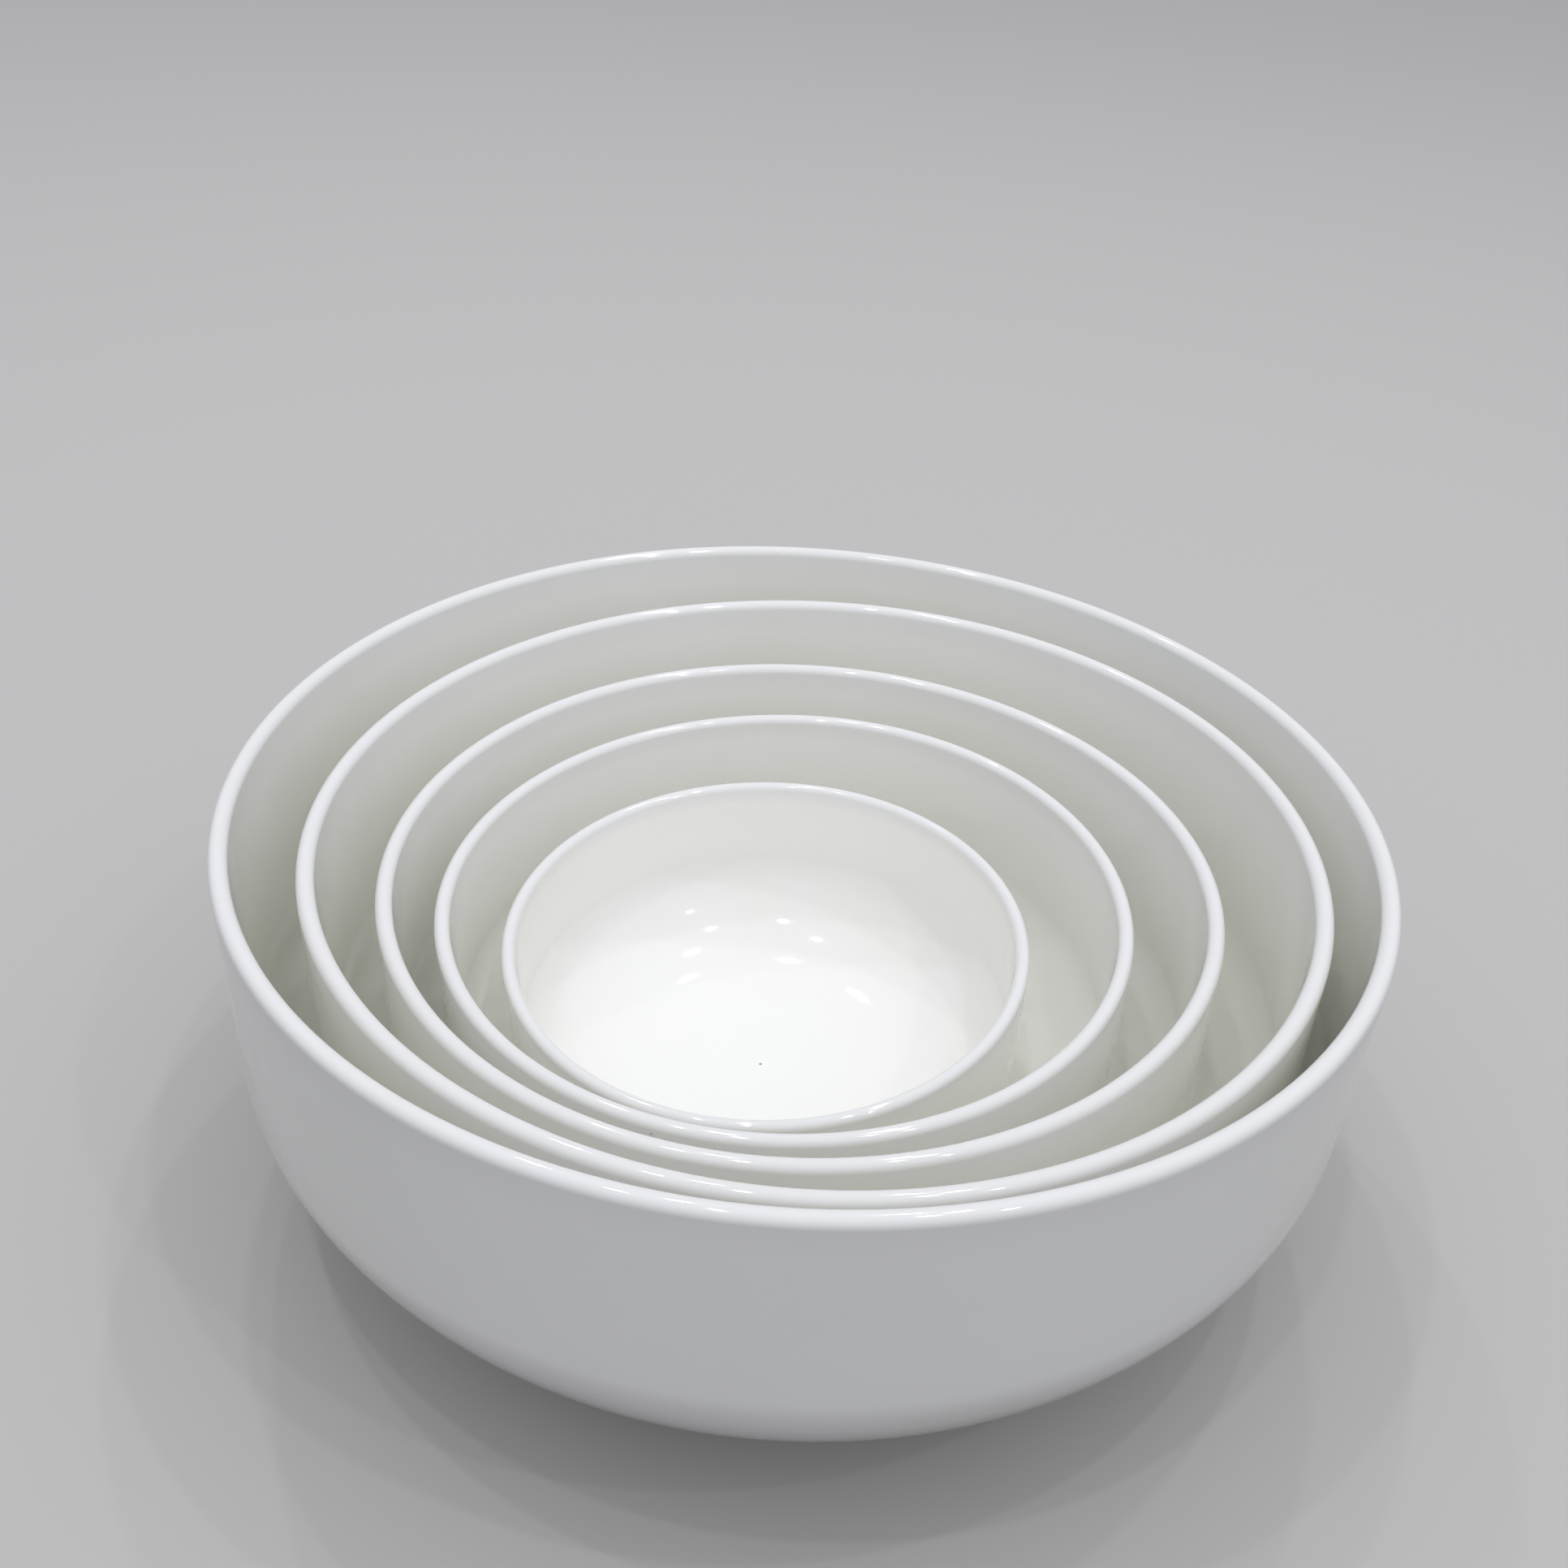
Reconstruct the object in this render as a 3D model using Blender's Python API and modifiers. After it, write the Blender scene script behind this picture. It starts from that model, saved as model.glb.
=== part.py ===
"""A nest of round glazed porcelain bowls, each standing on the floor of the next larger one.

Lengths are in metres and +Z is up. The largest bowl stands on the table with the middle of its
foot ring at the origin. The smaller bowls repeat its shape. They are loose, so each stands a little
off the centre of the one below, and most lean a little.
"""
import math

import bpy
from mathutils import Matrix

# The largest bowl.
RIM_RADIUS = 0.125
RIM_HEIGHT = 0.102
WALL = 0.004
WALL_STRAIGHT = 0.0437
WALL_DRAFT = math.radians(1.1)
FOOT_RADIUS = 0.058
FOOT_WIDTH = 0.005
FOOT_HEIGHT = 0.002
FOOT_BEVEL = 0.0006
FLOOR = 0.004

# The belly's curve leaves the wall along it and meets the base on a slight rise.
WALL_PULL = 0.287
BASE_PULL = 0.681
BASE_RISE = 0.18

# Each smaller bowl inside the next larger one: the gap between the two walls at the rim when both
# share an axis, the drop of its rim, its own wall, how far it stands off the larger bowl's axis,
# and how far it leans about the larger bowl's X and Y.
LARGE_GAP = 0.0112
LARGE_DROP = 0.0058
LARGE_WALL = 0.0038
LARGE_SHIFT = (0.0033, -0.0053)
LARGE_LEAN = (math.radians(-0.22), math.radians(-0.57))

MEDIUM_GAP = 0.0146
MEDIUM_DROP = 0.0085
MEDIUM_WALL = 0.0036
MEDIUM_SHIFT = (-0.0027, -0.0029)
MEDIUM_LEAN = (0.0, 0.0)

SMALL_GAP = 0.0122
SMALL_DROP = 0.0058
SMALL_WALL = 0.0033
SMALL_SHIFT = (-0.0024, -0.0018)
SMALL_LEAN = (math.radians(1.11), math.radians(-0.59))

SMALLEST_GAP = 0.0150
SMALLEST_DROP = 0.0075
SMALLEST_WALL = 0.0030
SMALLEST_SHIFT = (-0.0032, -0.0031)
SMALLEST_LEAN = (math.radians(2.48), math.radians(-0.79))

# The lowest point of a bowl's foot lies this far above the floor it rests on.
SEAT_GAP = 0.0003

STEPS = 48
BELLY_POINTS = 7
LIP_POINTS = 6

FLOOR_TOP = FOOT_HEIGHT + FLOOR


def belly(start, end):
    """Points of the curve from the foot of the wall to the edge of the base, without the first."""
    across = start[0] - end[0]
    down = start[1] - end[1]
    pull = WALL_PULL * down
    near = (start[0] - pull * math.tan(WALL_DRAFT), start[1] - pull)
    far = (end[0] + BASE_PULL * across, end[1] + BASE_PULL * across * BASE_RISE)
    points = []
    for i in range(1, BELLY_POINTS + 1):
        t = i / BELLY_POINTS
        a = (1 - t) ** 3
        b = 3 * (1 - t) ** 2 * t
        c = 3 * (1 - t) * t ** 2
        d = t ** 3
        r = a * start[0] + b * near[0] + c * far[0] + d * end[0]
        z = a * start[1] + b * near[1] + c * far[1] + d * end[1]
        points.append((r, z))
    return points


def bowl_profile(rim_radius, height, wall):
    """Half section from the middle of the floor, up the inside, over the lip and down to the foot."""
    lip = wall / 2
    lip_z = height - lip
    straight = WALL_STRAIGHT * height / RIM_HEIGHT
    foot_radius = FOOT_RADIUS * rim_radius / RIM_RADIUS
    foot_inside = foot_radius - FOOT_WIDTH
    drawn_in = straight * math.tan(WALL_DRAFT)
    wall_end = (rim_radius - drawn_in, lip_z - straight)
    outside = belly(wall_end, (foot_radius, FOOT_HEIGHT))
    wall_end_inside = (wall_end[0] - wall, wall_end[1])
    inside = belly(wall_end_inside, (foot_radius - FOOT_BEVEL, FLOOR_TOP))

    profile = [(0.0, FLOOR_TOP)]
    profile.extend(reversed(inside))
    profile.append(wall_end_inside)
    for i in range(LIP_POINTS + 1):
        turn = math.pi * (1 - i / LIP_POINTS)
        profile.append((rim_radius - lip + lip * math.cos(turn), lip_z + lip * math.sin(turn)))
    profile.append(wall_end)
    profile.extend(outside)
    profile.append((foot_radius - FOOT_BEVEL, 0.0))
    profile.append((foot_inside + FOOT_BEVEL, 0.0))
    profile.append((foot_inside, FOOT_HEIGHT))
    profile.append((0.0, FOOT_HEIGHT))
    return profile


def porcelain(name, colour):
    material = bpy.data.materials.new(name)
    material.use_nodes = True
    shader = material.node_tree.nodes["Principled BSDF"]
    shader.inputs["Base Color"].default_value = (*colour, 1.0)
    shader.inputs["Roughness"].default_value = 0.12
    shader.inputs["Metallic"].default_value = 0.0
    return material


def turn_bowl(name, profile, pose, material, collection):
    mesh = bpy.data.meshes.new(name)
    points = [(r, 0.0, z) for r, z in profile]
    edges = [(i, i + 1) for i in range(len(points) - 1)]
    mesh.from_pydata(points, edges, [])
    bowl = bpy.data.objects.new(name, mesh)
    collection.objects.link(bowl)
    bowl.matrix_world = pose
    screw = bowl.modifiers.new("turned", "SCREW")
    screw.axis = "Z"
    screw.angle = 2 * math.pi
    screw.steps = STEPS
    screw.render_steps = STEPS
    screw.use_merge_vertices = True
    screw.merge_threshold = 0.00001
    screw.use_smooth_shade = True
    mesh.materials.append(material)
    return bowl


for old in list(bpy.data.objects):
    bpy.data.objects.remove(old, do_unlink=True)

nest = bpy.data.collections.new("nesting_bowls")
bpy.context.scene.collection.children.link(nest)

rim_radius = RIM_RADIUS
height = RIM_HEIGHT
wall = WALL
pose = Matrix.Identity(4)
glaze = porcelain("glazed porcelain, largest bowl", (0.80, 0.80, 0.77))
turn_bowl("largest_bowl", bowl_profile(rim_radius, height, wall), pose, glaze, nest)

smaller = [
    ("large_bowl", LARGE_GAP, LARGE_DROP, LARGE_WALL, LARGE_SHIFT, LARGE_LEAN),
    ("medium_bowl", MEDIUM_GAP, MEDIUM_DROP, MEDIUM_WALL, MEDIUM_SHIFT, MEDIUM_LEAN),
    ("small_bowl", SMALL_GAP, SMALL_DROP, SMALL_WALL, SMALL_SHIFT, SMALL_LEAN),
    ("smallest_bowl", SMALLEST_GAP, SMALLEST_DROP, SMALLEST_WALL, SMALLEST_SHIFT, SMALLEST_LEAN),
]
for name, gap, drop, own_wall, shift, lean in smaller:
    rim_radius = rim_radius - wall - gap
    wall = own_wall
    tip = Matrix.Rotation(lean[0], 4, "X") @ Matrix.Rotation(lean[1], 4, "Y")
    # A leaning bowl stands on one side of its foot, which raises the middle of the foot.
    foot_edge = FOOT_RADIUS * rim_radius / RIM_RADIUS - FOOT_BEVEL
    raised = foot_edge * math.hypot(tip[2][0], tip[2][1])
    seat = FLOOR_TOP + SEAT_GAP + raised
    height = height - seat - drop
    pose = pose @ Matrix.Translation((shift[0], shift[1], seat)) @ tip
    glaze = porcelain("glazed porcelain, " + name.replace("_", " "), (0.80, 0.80, 0.77))
    turn_bowl(name, bowl_profile(rim_radius, height, wall), pose, glaze, nest)
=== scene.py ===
# %% [markdown]
# # A nest of glazed porcelain bowls
# The object is a set of loose bowls, turned to one shape in falling sizes and stacked inside one another.
# Each bowl is white porcelain with a thin coat of clear glaze, fired once more to a hard gloss.
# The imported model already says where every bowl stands, so this lesson starts by loading it.

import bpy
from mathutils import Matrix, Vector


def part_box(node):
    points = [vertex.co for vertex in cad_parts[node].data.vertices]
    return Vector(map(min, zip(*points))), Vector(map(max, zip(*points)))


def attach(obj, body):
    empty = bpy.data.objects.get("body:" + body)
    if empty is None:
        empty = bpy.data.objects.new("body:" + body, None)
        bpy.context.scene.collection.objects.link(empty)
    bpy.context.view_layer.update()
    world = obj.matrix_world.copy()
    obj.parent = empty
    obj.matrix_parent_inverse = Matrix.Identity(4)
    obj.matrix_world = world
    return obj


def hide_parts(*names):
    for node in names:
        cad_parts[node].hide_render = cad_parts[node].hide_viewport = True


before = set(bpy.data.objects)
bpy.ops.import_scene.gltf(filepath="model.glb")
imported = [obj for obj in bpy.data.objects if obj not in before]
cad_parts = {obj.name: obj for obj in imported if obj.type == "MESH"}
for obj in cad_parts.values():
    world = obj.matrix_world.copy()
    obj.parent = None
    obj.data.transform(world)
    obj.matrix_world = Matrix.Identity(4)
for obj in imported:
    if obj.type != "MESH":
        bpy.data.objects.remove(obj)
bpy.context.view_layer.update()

import math

import bmesh
import bpy
from mathutils import Matrix, Vector

scene = bpy.context.scene
BOWLS = ["largest_bowl", "large_bowl", "medium_bowl", "small_bowl", "smallest_bowl"]
print("bowls in the frame:", sorted(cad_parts))

# %% [markdown]
# ## The camera
# The rims are circles in the real world and ellipses in the picture, so they tell where the camera stood.
# A fit of the rims gave a short lens held close to the bowls, tipped down about a third of a right angle
# and turned a little about its own axis. A camera can be posed by angles, but writing the three axes of
# its matrix keeps the small roll exact.

# %% Camera
PICTURE_SIZE, FOCAL_PIXELS = 1932, 2084.0
SENSOR_WIDTH, NEAREST = 36.0, 0.01
EYE = Vector((0.0, -0.30965, 0.30148))
YAW, PITCH, ROLL = -0.0167, 0.5708, -0.0591


def camera_matrix(eye, yaw, pitch, roll):
    """World matrix of a camera that looks along +Y at yaw 0 and tips down by pitch."""
    ahead = Vector((math.sin(yaw) * math.cos(pitch), math.cos(yaw) * math.cos(pitch), -math.sin(pitch)))
    level = Vector((math.cos(yaw), -math.sin(yaw), 0.0))
    down = ahead.cross(level)
    right = math.cos(roll) * level + math.sin(roll) * down
    below = math.cos(roll) * down - math.sin(roll) * level
    turned = Matrix((right, -below, -ahead)).transposed().to_4x4()
    turned.translation = eye
    return turned


camera_data = bpy.data.cameras.new("camera")
camera_data.sensor_width = SENSOR_WIDTH
camera_data.lens = SENSOR_WIDTH * FOCAL_PIXELS / PICTURE_SIZE
camera_data.clip_start = NEAREST
camera = bpy.data.objects.new("camera", camera_data)
scene.collection.objects.link(camera)
camera.matrix_world = camera_matrix(EYE, YAW, PITCH, ROLL)
scene.camera = camera
print(f"lens {camera_data.lens:.2f} mm, eye {tuple(round(x, 3) for x in EYE)}")

# %% [markdown]
# ## Sizes, places and leans
# The bowls repeat one shape, each a step smaller than the one it stands in. They are loose, so each is a
# little off the centre of the bowl below, and most lean by a few tenths of a degree to a few degrees. The
# table gives these steps in millimetres and degrees, and a chain of matrices adds them up. Reading boxes
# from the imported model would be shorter, but a box doesn't tell how a bowl leans.

# %% Chain of bowls
MM = 0.001
RIM_RADIUS, RIM_HEIGHT, WALL = 125.0 * MM, 102.0 * MM, 4.0 * MM
FOOT_RADIUS, FOOT_WIDTH, FOOT_HEIGHT, FOOT_BEVEL = 58.0 * MM, 5.0 * MM, 2.0 * MM, 0.6 * MM
FLOOR_TOP, SEAT_GAP = 6.0 * MM, 0.3 * MM
# Gap between the walls, drop of the rim, own wall, shift across and along, lean about X and about Y.
STEPS_IN = {
    "large_bowl": (11.2, 5.8, 3.8, 3.3, -5.3, -0.22, -0.57),
    "medium_bowl": (14.6, 8.5, 3.6, -2.7, -2.9, 0.0, 0.0),
    "small_bowl": (12.2, 5.8, 3.3, -2.4, -1.8, 1.11, -0.59),
    "smallest_bowl": (15.0, 7.5, 3.0, -3.2, -3.1, 2.48, -0.79),
}

rim_radius, height, wall, pose = RIM_RADIUS, RIM_HEIGHT, WALL, Matrix.Identity(4)
nest = {"largest_bowl": (rim_radius, height, wall, pose)}
for name, (gap, drop, own_wall, across, along, about_x, about_y) in STEPS_IN.items():
    rim_radius = rim_radius - wall - gap * MM
    wall = own_wall * MM
    lean = Matrix.Rotation(math.radians(about_x), 4, "X") @ Matrix.Rotation(math.radians(about_y), 4, "Y")
    # A leaning bowl stands on one side of its foot, which raises the middle of the foot.
    foot_edge = FOOT_RADIUS * rim_radius / RIM_RADIUS - FOOT_BEVEL
    seat = FLOOR_TOP + SEAT_GAP + foot_edge * math.hypot(lean[2][0], lean[2][1])
    height = height - seat - drop * MM
    pose = pose @ Matrix.Translation((across * MM, along * MM, seat)) @ lean
    nest[name] = (rim_radius, height, wall, pose)
for name, (rim_radius, height, wall, pose) in nest.items():
    low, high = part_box(name)
    print(f"{name}: rim {2 * rim_radius / MM:.1f} mm, height {height / MM:.1f} mm,",
          f"packed {(high.z - low.z) / MM:.1f} mm high")

# %% [markdown]
# ## The shape of one bowl
# A bowl like this is formed in a mould while it spins, so its whole shape is one half section turned about
# an axis. The wall is almost upright, the belly rolls in under it on a free curve, and a low ring carries
# the bowl. A Screw modifier could turn the section, but here the rings are written point by point, because
# the kiln leaves every rim slightly out of round and the rings then differ from one another.

# %% Lines and curves of the section
WALL_STRAIGHT, WALL_DRAFT = 43.7 * MM, math.radians(1.1)
WALL_PULL, BASE_PULL, BASE_RISE = 0.287, 0.681, 0.18


def line(start, end, count):
    """Points after start, up to and with end."""
    return [tuple(a + (b - a) * i / count for a, b in zip(start, end)) for i in range(1, count + 1)]


def belly(start, end, count):
    """The free curve from the foot of the wall to the edge of the base, without its first point."""
    across, down = start[0] - end[0], start[1] - end[1]
    near = (start[0] - WALL_PULL * down * math.tan(WALL_DRAFT), start[1] - WALL_PULL * down)
    far = (end[0] + BASE_PULL * across, end[1] + BASE_PULL * across * BASE_RISE)
    handles = (start, near, far, end)
    points = []
    for i in range(1, count + 1):
        t = i / count
        weights = ((1 - t) ** 3, 3 * (1 - t) ** 2 * t, 3 * (1 - t) * t ** 2, t ** 3)
        points.append(tuple(sum(w * h[axis] for w, h in zip(weights, handles)) for axis in (0, 1)))
    return points


print(f"the wall draws in {math.degrees(WALL_DRAFT):.1f} degrees over {WALL_STRAIGHT / MM:.1f} mm")

# %% [markdown]
# The inside is drawn from the middle of the floor outwards. Where the flat floor meets the belly, glaze
# runs down and rounds the corner, so a shallow parabola is added there. It is kept low enough for the foot
# of the next bowl to clear it, and it is widest in the smallest bowl, which holds nothing. A Bevel modifier
# would round the corner too, but not by a different amount in each bowl without a vertex group.

# %% Inside of the section
FLOOR_BLEND = {"largest_bowl": 12.0 * MM, "large_bowl": 11.0 * MM, "medium_bowl": 11.0 * MM,
               "small_bowl": 11.0 * MM, "smallest_bowl": 20.0 * MM}
FLOOR_POINTS, BELLY_POINTS = 14, 40


def inside_points(inner_end, floor_edge, blend):
    """From the middle of the floor to the foot of the inner wall."""
    points = [(0.0, FLOOR_TOP)] + line((0.0, FLOOR_TOP), floor_edge, FLOOR_POINTS)
    points += list(reversed(belly(inner_end, floor_edge, BELLY_POINTS)[:-1])) + [inner_end]
    rounded = []
    for r, z in points:
        reach = max(0.0, blend - abs(r - floor_edge[0]))
        rounded.append((r, z + BASE_RISE * reach ** 2 / (4 * blend)))
    return rounded


for name, blend in FLOOR_BLEND.items():
    print(f"{name}: glaze {BASE_RISE * blend / 4 / MM:.2f} mm deep in the corner of the floor")

# %% [markdown]
# A bowl stands on a low ring. Its edges are eased with a sponge while the clay is still soft, and it is the
# one place that is left without glaze, so the function also tells how many of its points are bare. The ring
# could be a mesh of its own, but on a real bowl it is one with the base, and so it is here.

# %% Foot ring of the section
EASED_SIDE, EASED_LOW = (0.2 * FOOT_BEVEL, 0.5 * MM), (0.5 * FOOT_BEVEL, 0.15 * MM)
SIDE_POINTS, SOLE_POINTS, UNDER_POINTS = 2, 3, 8


def foot_points(foot):
    """From the edge of the base, over the ring and under the bowl to its axis; and how many are bare."""
    inner_foot = foot - FOOT_WIDTH
    points = line((foot, FOOT_HEIGHT), (foot - EASED_SIDE[0], EASED_SIDE[1]), SIDE_POINTS)
    points += [(foot - EASED_LOW[0], EASED_LOW[1]), (foot - FOOT_BEVEL, 0.0)]
    points += line(points[-1], (inner_foot + FOOT_BEVEL, 0.0), SOLE_POINTS)
    points += [(inner_foot + inward, up) for inward, up in (EASED_LOW, EASED_SIDE)]
    bare = len(points)
    points += [(inner_foot, FOOT_HEIGHT)]
    points += line((inner_foot, FOOT_HEIGHT), (0.0, FOOT_HEIGHT), UNDER_POINTS)
    return points, bare


print("bare points on a foot ring:", foot_points(FOOT_RADIUS)[1])

# %% [markdown]
# The lip is a half circle as thick as the wall, because a sharp edge would chip and glaze wouldn't stay on
# it. With the lip between inside and outside, the section is whole. It could be drawn as a Bezier curve by
# hand, but written as numbers it fits every size of bowl.

# %% Whole section
WALL_POINTS, LIP_POINTS = 6, 18


def bowl_section(rim_radius, height, wall, blend):
    """Points of the half section, and the first and last of those that are left without glaze."""
    lip = wall / 2
    lip_z = height - lip
    straight = WALL_STRAIGHT * height / RIM_HEIGHT
    wall_end = (rim_radius - straight * math.tan(WALL_DRAFT), lip_z - straight)
    inner_end = (wall_end[0] - wall, wall_end[1])
    foot = FOOT_RADIUS * rim_radius / RIM_RADIUS

    section = inside_points(inner_end, (foot - FOOT_BEVEL, FLOOR_TOP), blend)
    section += line(inner_end, (rim_radius - wall, lip_z), WALL_POINTS)
    for i in range(1, LIP_POINTS + 1):
        turn = math.pi * (1 - i / LIP_POINTS)
        section.append((rim_radius - lip + lip * math.cos(turn), lip_z + lip * math.sin(turn)))
    section += line(section[-1], wall_end, WALL_POINTS)
    section += belly(wall_end, (foot, FOOT_HEIGHT), BELLY_POINTS)
    ring, bare = foot_points(foot)
    return section + ring, len(section), len(section) + bare - 1


largest_section = bowl_section(RIM_RADIUS, RIM_HEIGHT, WALL, FLOOR_BLEND["largest_bowl"])
print("points in one section:", len(largest_section[0]))

# %% [markdown]
# ## Turning the section
# Thin porcelain sags a little in the kiln. A rim of this size comes out a few tenths of a millimetre oval
# and as much out of flat, and that is what lets a highlight wander along the lip. A Displace modifier with
# a noise would warp a rim too, but two slow waves around it are nearer to what a kiln does.

# %% Warp of a rim
# Waves around the rim, the size of each, and how much of the bowl's own phase it takes.
WAVES_OUT = ((2, 0.28 * MM, 1.0), (3, 0.12 * MM, 1.7))
WAVES_UP = ((2, 0.20 * MM, 2.3), (3, 0.10 * MM, 0.6))


def warp(waves, turn, phase):
    """How far the rim is off its true circle at one turn around it."""
    return sum(size * math.cos(count * turn + share * phase) for count, size, share in waves)


print(f"a rim is at most {sum(size for _, size, _ in WAVES_OUT) / MM:.2f} mm out of round")

# %% [markdown]
# Liquid glaze gathers in the corner of the floor, where it lies a trace greyer. The lip gets painted shade:
# its colour is darkened to tone down the light on it and set off its glints. Each point stores how near it
# lies to the crest of the lip and to that corner, and the finish reads it later. A painted mask could do
# the same, but the section already knows where lip and floor are.

# %% Painted lip shade and glaze pool
LIP_SHADE_WALLS, POOLED_HEIGHTS = 1.5, 0.16


def lip_shade_and_glaze_pool(r, z, height, wall):
    """0 on the crest of the lip, 0.5 on a plain wall and 1 in the corner of the floor."""
    # Near the crest of the lip: the share of painted shade.
    lip_shade_amount = max(0.0, 1.0 - (height - z) / (LIP_SHADE_WALLS * wall))
    pooled = max(0.0, 1.0 - abs(z - FLOOR_TOP) / (POOLED_HEIGHTS * height)) if r > 0.0 else 0.0
    return 0.5 - 0.5 * lip_shade_amount + 0.5 * pooled


# Over this reach below the lip the colour is darkened as painted shade.
print(f"glaze thins out over the last {LIP_SHADE_WALLS * WALL / MM:.1f} mm below the largest lip")

# %% [markdown]
# A bowl is then a ring of points for each point of the section, with faces between one ring and the next.
# The warp grows from nothing at the foot to its full size at the rim, so the bowl still stands flat. Faces
# on the foot ring get the second finish, which is bare porcelain.

# %% Turn a bowl
TURNS = 192


def turn_bowl(name, phase):
    """One bowl in its place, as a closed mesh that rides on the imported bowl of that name."""
    rim_radius, height, wall, pose = nest[name]
    section, bare_from, bare_to = bowl_section(rim_radius, height, wall, FLOOR_BLEND[name])
    mesh_maker = bmesh.new()
    # Per point: painted shade near the lip, pooled glaze in the corner of the floor.
    lip_shade_and_pool_layer = mesh_maker.verts.layers.float.new("lip_shade_and_glaze_pool")
    rings = []
    for r, z in section:
        share = (z / height) ** 2
        ring = []
        for step in range(TURNS if r > 0.0 else 1):
            turn = 2 * math.pi * step / TURNS
            radius = r + share * warp(WAVES_OUT, turn, phase)
            up = z + share * warp(WAVES_UP, turn, phase)
            point = Vector((radius * math.cos(turn), radius * math.sin(turn), up))
            vertex = mesh_maker.verts.new(pose @ point)
            vertex[lip_shade_and_pool_layer] = lip_shade_and_glaze_pool(r, z, height, wall)
            ring.append(vertex)
        rings.append(ring)
    for index, (ring, after) in enumerate(zip(rings, rings[1:])):
        for step in range(TURNS):
            corners = [ring[step % len(ring)], ring[(step + 1) % len(ring)]]
            corners += [after[(step + 1) % len(after)], after[step % len(after)]]
            face = mesh_maker.faces.new(list(dict.fromkeys(reversed(corners))))
            face.smooth = True
            face.material_index = 1 if bare_from <= index < bare_to else 0
    mesh = bpy.data.meshes.new(name + "_porcelain")
    mesh_maker.normal_update()
    mesh_maker.to_mesh(mesh)
    mesh_maker.free()
    bowl = bpy.data.objects.new(name + "_porcelain", mesh)
    scene.collection.objects.link(bowl)
    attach(bowl, name)
    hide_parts(name)
    return bowl


print("steps around a bowl:", TURNS)

# %% [markdown]
# All five bowls come from the same function. Each gets its own phase, so that no two are warped alike.
# Scaled copies of one mesh would be quicker, but walls and foot rings don't shrink in step with the rims.

# %% Five bowls
FIRST_PHASE, NEXT_PHASE = 0.9, 1.3
porcelain_bowls = {name: turn_bowl(name, FIRST_PHASE + NEXT_PHASE * i) for i, name in enumerate(BOWLS)}
for name, bowl in porcelain_bowls.items():
    print(f"{bowl.name}: {len(bowl.data.polygons)} faces, {max(bowl.dimensions[:2]) / MM:.1f} mm across")

# %% [markdown]
# ## Helpers for finishes
# Colours are picked as they look on a screen, as sRGB hex values, and Blender's shaders want linear light.
# One function converts them. Another adds a node, sets its values and makes its links, so that each finish
# below reads as a short list.

# %% Colour and node helpers
def linear(hex_colour):
    """Linear colour with alpha from a value like "#EDEBE4"."""
    channels = [int(hex_colour[i:i + 2], 16) / 255 for i in (1, 3, 5)]
    return (*[c / 12.92 if c <= 0.04045 else ((c + 0.055) / 1.055) ** 2.4 for c in channels], 1.0)


def add_node(tree, kind, inputs=None, **settings):
    """A node with its settings; an input is linked if it is a socket and set if it is a value."""
    made = tree.nodes.new(kind)
    for key, value in settings.items():
        setattr(made, key, value)
    for key, value in (inputs or {}).items():
        if isinstance(value, bpy.types.NodeSocket):
            tree.links.new(value, made.inputs[key])
        else:
            made.inputs[key].default_value = value
    return made


def new_finish(name):
    """A material with only an output node."""
    finish = bpy.data.materials.new(name)
    finish.use_nodes = True
    finish.node_tree.nodes.clear()
    return finish, finish.node_tree


print("middle grey in linear light:", round(linear("#808080")[0], 3))

# %% [markdown]
# ## Glazed porcelain
# The body is white clay fired until it is almost glass, and the glaze on it is a thin clear glass, so the
# eye gets a bright, slightly warm white under a sharp, weak mirror. Seen close, the white isn't quite even.
# It lies in soft patches a few centimetres wide and is a trace greyer where the glaze pools. The lip is
# painted shade: darker and a little less warm, to tone down the light on it and set off its glints. The
# patches come from a noise, and lip and pool from the stored value. A plain white shader would miss all of
# that.

# %% Glaze colour
GLAZE_WHITE, GLAZE_WARM = "#F2F2ED", "#F0F0E9"
# The lip colour is painted shade, darker than the body; the pool colour is thick glaze, a trace greyer.
PAINTED_LIP_SHADE, GLAZE_POOL = "#DFDFDD", "#EEEEE9"
PATCH_MM, LIP_SHADE_SHARE, POOL_SHARE = 55.0, 0.8, 0.7


def per_metre(millimetres):
    """Texture scale of a pattern that repeats about every so many millimetres."""
    return 1000.0 / millimetres


glazed_porcelain, tree = new_finish("glazed porcelain")
place = add_node(tree, "ShaderNodeTexCoord").outputs["Object"]
patches = add_node(tree, "ShaderNodeTexNoise", {
    "Vector": place, "Scale": per_metre(PATCH_MM), "Detail": 3.0})
patch_share = add_node(tree, "ShaderNodeMapRange", {
    "Value": patches.outputs["Fac"], "From Min": 0.35, "From Max": 0.65})
body_white = add_node(tree, "ShaderNodeMix", {
    "Factor": patch_share.outputs["Result"], 6: linear(GLAZE_WHITE), 7: linear(GLAZE_WARM)},
    data_type="RGBA")
# Stored per point: painted shade near the lip, pooled glaze in the corner of the floor.
lip_shade_and_pool_value = add_node(tree, "ShaderNodeAttribute", attribute_name="lip_shade_and_glaze_pool").outputs["Fac"]
lip_shade_amount = add_node(tree, "ShaderNodeMapRange", {
    "Value": lip_shade_and_pool_value, "From Min": 0.5, "From Max": 0.0, "To Max": LIP_SHADE_SHARE})
pooled = add_node(tree, "ShaderNodeMapRange", {
    "Value": lip_shade_and_pool_value, "From Min": 0.5, "From Max": 1.0, "To Max": POOL_SHARE})
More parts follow.
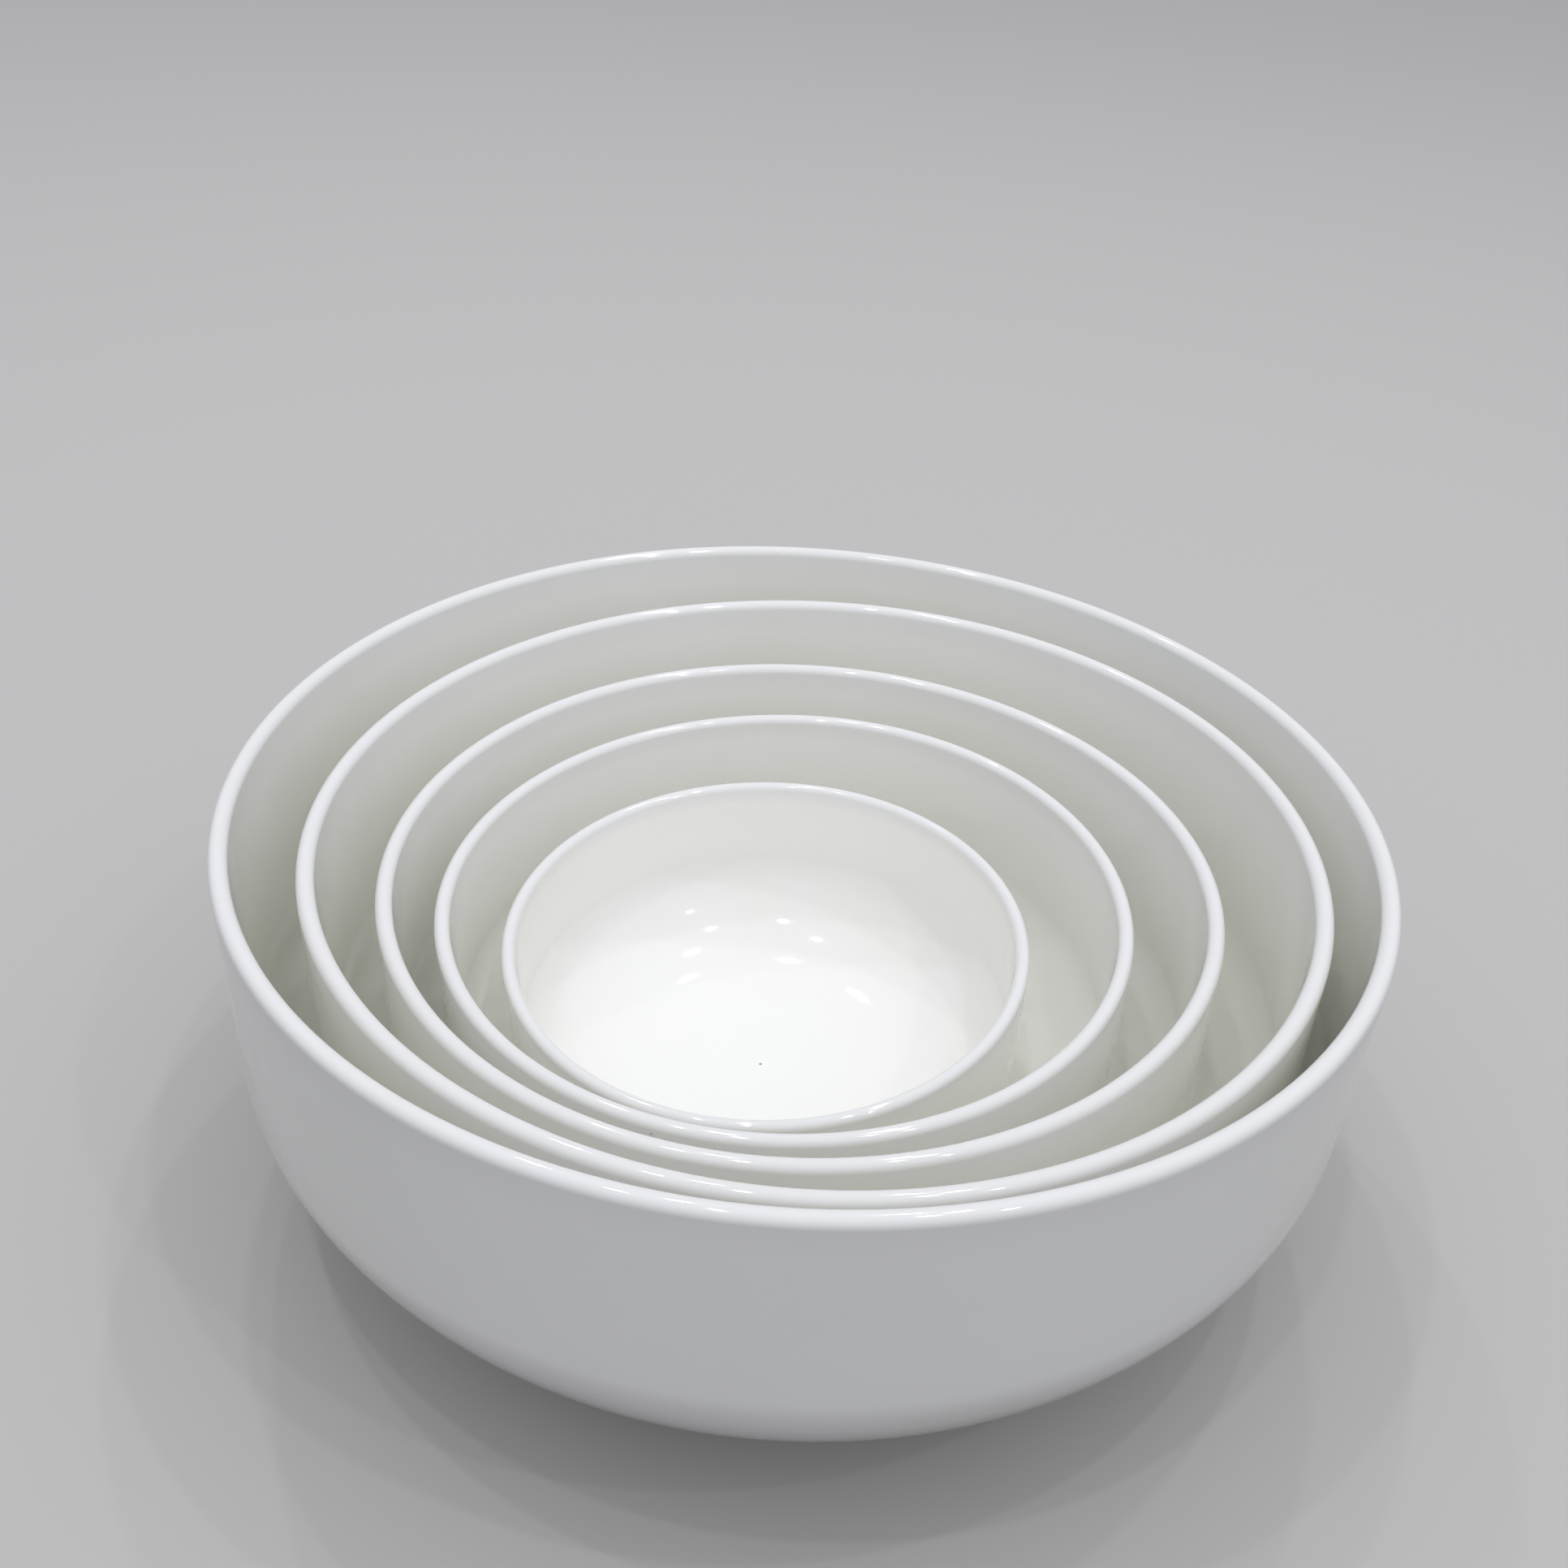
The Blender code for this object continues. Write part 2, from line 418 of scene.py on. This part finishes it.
# Painted shade: the lip is darkened to tone down its light and set off its glints.
lip_shaded_white = add_node(tree, "ShaderNodeMix", {
    "Factor": lip_shade_amount.outputs["Result"], 6: body_white.outputs[2], 7: linear(PAINTED_LIP_SHADE)},
    data_type="RGBA")
pool_white = add_node(tree, "ShaderNodeMix", {
    "Factor": pooled.outputs["Result"], 6: lip_shaded_white.outputs[2], 7: linear(GLAZE_POOL)},
    data_type="RGBA")
print(f"glaze in patches {PATCH_MM:.0f} mm apart")

# %% [markdown]
# Here and there iron in the clay comes through as a brown speck. Most specks are the centres of Voronoi
# cells, which a bowl's skin meets only now and then. Two are given one by one, on the floor of the smallest
# bowl and on the lip of the small one, by the distance from a given point.

# %% Iron specks
IRON_SPECK, SPECK_SPACING_MM, SPECK_RADIUS_MM, SPECK_DARK = "#5A4A3C", 30.0, 0.34, 0.75
MARKS_MM, MARK_EDGE_MM = ((-6.57, -13.48, 33.48), (-24.34, -83.15, 77.77)), (0.42, 0.22)
cells = add_node(tree, "ShaderNodeTexVoronoi", {"Vector": place, "Scale": per_metre(SPECK_SPACING_MM)})
speck_share = add_node(tree, "ShaderNodeMapRange", {
    "Value": cells.outputs["Distance"], "From Min": SPECK_RADIUS_MM / SPECK_SPACING_MM,
    "From Max": 0.6 * SPECK_RADIUS_MM / SPECK_SPACING_MM, "To Max": SPECK_DARK})
dark_share = speck_share.outputs["Result"]
for mark in MARKS_MM:
    away = add_node(tree, "ShaderNodeVectorMath", {
        0: place, 1: tuple(x * MM for x in mark)}, operation="DISTANCE")
    mark_share = add_node(tree, "ShaderNodeMapRange", {
        "Value": away.outputs["Value"], "From Min": MARK_EDGE_MM[0] * MM,
        "From Max": MARK_EDGE_MM[1] * MM, "To Max": SPECK_DARK})
    dark_share = add_node(tree, "ShaderNodeMath", {
        0: dark_share, 1: mark_share.outputs["Result"]}, operation="MAXIMUM").outputs[0]
speckled = add_node(tree, "ShaderNodeMix", {
    "Factor": dark_share, 6: pool_white.outputs[2], 7: linear(IRON_SPECK)}, data_type="RGBA")
print(f"specks {2 * SPECK_RADIUS_MM:.1f} mm wide, {len(MARKS_MM)} of them set by hand")

# %% [markdown]
# Glaze is a kind of glass, so its IOR lies between 1.5 and 1.6 and it is nearly as smooth. Hands and cloths
# leave smears that are a little duller. A faint orange peel a few millimetres apart, with finer grains in
# it, breaks up the glint of a lamp. Its waves are only hundredths of a millimetre high, which a mesh of
# this size can't hold, so they are a bump in the finish.

# %% Glaze gloss and orange peel
PEEL_MM, GRAIN_MM, SMEAR_MM, GRAIN_SHARE = 7.0, 1.6, 24.0, 0.10
PEEL_DEPTH, PEEL_STRENGTH = 0.05 * MM, 0.35
GLAZE_IOR, GLOSS_CLEAN, GLOSS_SMEARED = 1.56, 0.04, 0.08
smears = add_node(tree, "ShaderNodeTexNoise", {
    "Vector": place, "Scale": per_metre(SMEAR_MM), "Detail": 4.0})
gloss = add_node(tree, "ShaderNodeMapRange", {
    "Value": smears.outputs["Fac"], "From Min": 0.3, "From Max": 0.7,
    "To Min": GLOSS_CLEAN, "To Max": GLOSS_SMEARED})
peel = add_node(tree, "ShaderNodeTexNoise", {
    "Vector": place, "Scale": per_metre(PEEL_MM), "Detail": 1.0})
grains = add_node(tree, "ShaderNodeTexNoise", {
    "Vector": place, "Scale": per_metre(GRAIN_MM), "Detail": 0.0})
skin = add_node(tree, "ShaderNodeMix", {
    "Factor": GRAIN_SHARE, "A": peel.outputs["Fac"], "B": grains.outputs["Fac"]}, data_type="FLOAT")
bump = add_node(tree, "ShaderNodeBump", {
    "Height": skin.outputs[0], "Strength": PEEL_STRENGTH, "Distance": PEEL_DEPTH})
glaze = add_node(tree, "ShaderNodeBsdfPrincipled", {
    "Base Color": speckled.outputs[2], "Roughness": gloss.outputs["Result"], "IOR": GLAZE_IOR,
    "Normal": bump.outputs["Normal"]})
add_node(tree, "ShaderNodeOutputMaterial", {"Surface": glaze.outputs["BSDF"]})
print(f"orange peel {PEEL_MM:.0f} mm apart, IOR {GLAZE_IOR}")

# %% [markdown]
# ## Biscuit foot
# The ring that a bowl stands on is wiped clean before the glaze firing, or it would stick to the kiln
# shelf. What is left is bare porcelain, called biscuit: dry, fine-grained, a little greyer than the glaze
# and rubbed by tables. The real grit is near a tenth of a millimetre, so it is drawn at 1 mm here to show.

# %% Biscuit
BISCUIT_PALE, BISCUIT_RUBBED = "#DEDAD0", "#C4BEB2"
RUB_MM, GRIT_MM, GRIT_DEPTH, GRIT_STRENGTH = 9.0, 1.0, 0.08 * MM, 0.4
BISCUIT_IOR, BISCUIT_ROUGHNESS = 1.5, 0.75
biscuit, tree = new_finish("unglazed biscuit porcelain")
place = add_node(tree, "ShaderNodeTexCoord").outputs["Object"]
rub = add_node(tree, "ShaderNodeTexNoise", {"Vector": place, "Scale": per_metre(RUB_MM), "Detail": 5.0})
bare_white = add_node(tree, "ShaderNodeMix", {
    "Factor": rub.outputs["Fac"], 6: linear(BISCUIT_PALE), 7: linear(BISCUIT_RUBBED)}, data_type="RGBA")
grit = add_node(tree, "ShaderNodeTexNoise", {"Vector": place, "Scale": per_metre(GRIT_MM), "Detail": 3.0})
grit_bump = add_node(tree, "ShaderNodeBump", {
    "Height": grit.outputs["Fac"], "Strength": GRIT_STRENGTH, "Distance": GRIT_DEPTH})
bare = add_node(tree, "ShaderNodeBsdfPrincipled", {
    "Base Color": bare_white.outputs[2], "Roughness": BISCUIT_ROUGHNESS, "IOR": BISCUIT_IOR,
    "Normal": grit_bump.outputs["Normal"]})
add_node(tree, "ShaderNodeOutputMaterial", {"Surface": bare.outputs["BSDF"]})

for bowl in porcelain_bowls.values():
    bowl.data.materials.append(glazed_porcelain)
    bowl.data.materials.append(biscuit)
print("finishes:", glazed_porcelain.name, "and", biscuit.name)

# %% [markdown]
# ## The floor
# A plain pale floor of matte paint under the bowls catches their shadow. It isn't part of the object. The
# camera and mirror-like reflections see it pale. What it throws back onto the bowls is set by a darker
# colour, because a white belly shows its shape best when little light comes from below.

# %% Floor
def seen_share(tree):
    """Socket that is 1 for rays of the camera, mirrors and glass, and 0 for rays that only light."""
    ray = add_node(tree, "ShaderNodeLightPath")
    mirrored = add_node(tree, "ShaderNodeMath", {
        0: ray.outputs["Is Glossy Ray"], 1: ray.outputs["Is Transmission Ray"]}, operation="MAXIMUM")
    return add_node(tree, "ShaderNodeMath", {
        0: ray.outputs["Is Camera Ray"], 1: mirrored.outputs[0]}, operation="MAXIMUM").outputs[0]


FLOOR_HALF, FLOOR_Z = 6.0, -0.2 * MM
FLOOR_PALE, FLOOR_BOUNCE, PAINT_ROUGHNESS = "#BDBCB8", "#6C6C6D", 0.9
floor_mesh = bpy.data.meshes.new("floor")
floor_mesh.from_pydata(
    [(x * FLOOR_HALF, y * FLOOR_HALF, FLOOR_Z) for x, y in ((-1, -1), (1, -1), (1, 1), (-1, 1))],
    [], [(0, 1, 2, 3)])
floor = bpy.data.objects.new("floor", floor_mesh)
scene.collection.objects.link(floor)
matte_floor, tree = new_finish("matte pale floor")
shade = add_node(tree, "ShaderNodeMix", {
    "Factor": seen_share(tree), 6: linear(FLOOR_BOUNCE), 7: linear(FLOOR_PALE)}, data_type="RGBA")
paint = add_node(tree, "ShaderNodeBsdfPrincipled", {
    "Base Color": shade.outputs[2], "Roughness": PAINT_ROUGHNESS, "Specular IOR Level": 0.0})
add_node(tree, "ShaderNodeOutputMaterial", {"Surface": paint.outputs["BSDF"]})
floor_mesh.materials.append(matte_floor)
print("floor half width", FLOOR_HALF, "m")

# %% [markdown]
# ## Light
# White glaze shows the light more than itself. Most of the light is a soft dome, strongest overhead, which
# fills the bowls and leaves the outer wall in gentle shade. Eight small ceiling lamps add what glaze is
# known for: a string of short glints along every lip, and sparks inside the bowls. Lamps this small also
# cast the faint crossing shadows between the walls. One big softbox would be simpler, but it would show in
# the glaze as a hard-edged white window.

# %% Lamps
LAMP_SPOTS = ((-0.44, 0.90), (-0.43, -0.10), (-0.20, 0.45), (-0.20, -0.50),
              (0.22, 0.70), (0.42, -0.30), (0.40, 0.20), (0.91, -0.80))
LAMP_WHITE = "#FAFBFF"
LAMP_UP, LAMP_WIDTH, LAMP_WATTS = 1.75, 0.045, 1.62
for i, (across, along) in enumerate(LAMP_SPOTS):
    lamp_data = bpy.data.lights.new(f"ceiling_lamp_{i}", "AREA")
    lamp_data.shape = "DISK"
    lamp_data.size = LAMP_WIDTH
    lamp_data.energy = LAMP_WATTS
    lamp_data.color = linear(LAMP_WHITE)[:3]
    lamp = bpy.data.objects.new(f"ceiling_lamp_{i}", lamp_data)
    scene.collection.objects.link(lamp)
    lamp.location = (across, along, LAMP_UP)
    lamp.rotation_euler = (-lamp.location).to_track_quat("-Z", "Y").to_euler()

# %% [markdown]
# The dome is the world itself: brighter towards an axis a little in front of straight up, dimmer at the
# horizon. The camera and mirror-like reflections see an even pale room instead. Light in a white bowl
# bounces from wall to wall many times before it gets out, and a path that is cut short leaves the inside
# grey, so the number of diffuse bounces is raised.

# %% World
DOME, HORIZON, PALE = 1.08, 0.50, 0.80
DOME_AXIS = (0.12, -0.38, 0.917)
DOME_FROM, DOME_TO = 0.20, 1.00
SKY_WHITE, BOUNCES = "#F3F4FD", 12
world = bpy.data.worlds.new("soft dome")
scene.world = world
world.use_nodes = True
tree = world.node_tree
tree.nodes.clear()
direction = add_node(tree, "ShaderNodeTexCoord").outputs["Generated"]
height_share = add_node(tree, "ShaderNodeVectorMath", {0: direction, 1: DOME_AXIS}, operation="DOT_PRODUCT")
dome = add_node(tree, "ShaderNodeMapRange", {
    "Value": height_share.outputs["Value"], "From Min": DOME_FROM, "From Max": DOME_TO,
    "To Min": HORIZON, "To Max": DOME})
strength = add_node(tree, "ShaderNodeMix", {
    "Factor": seen_share(tree), "A": dome.outputs["Result"], "B": PALE}, data_type="FLOAT")
sky = add_node(tree, "ShaderNodeBackground", {"Color": linear(SKY_WHITE), "Strength": strength.outputs[0]})
add_node(tree, "ShaderNodeOutputWorld", {"Surface": sky.outputs["Background"]})
scene.view_settings.view_transform = "Standard"
scene.cycles.diffuse_bounces = BOUNCES
print("dome", DOME, "over a horizon of", HORIZON, "and pale background", PALE)
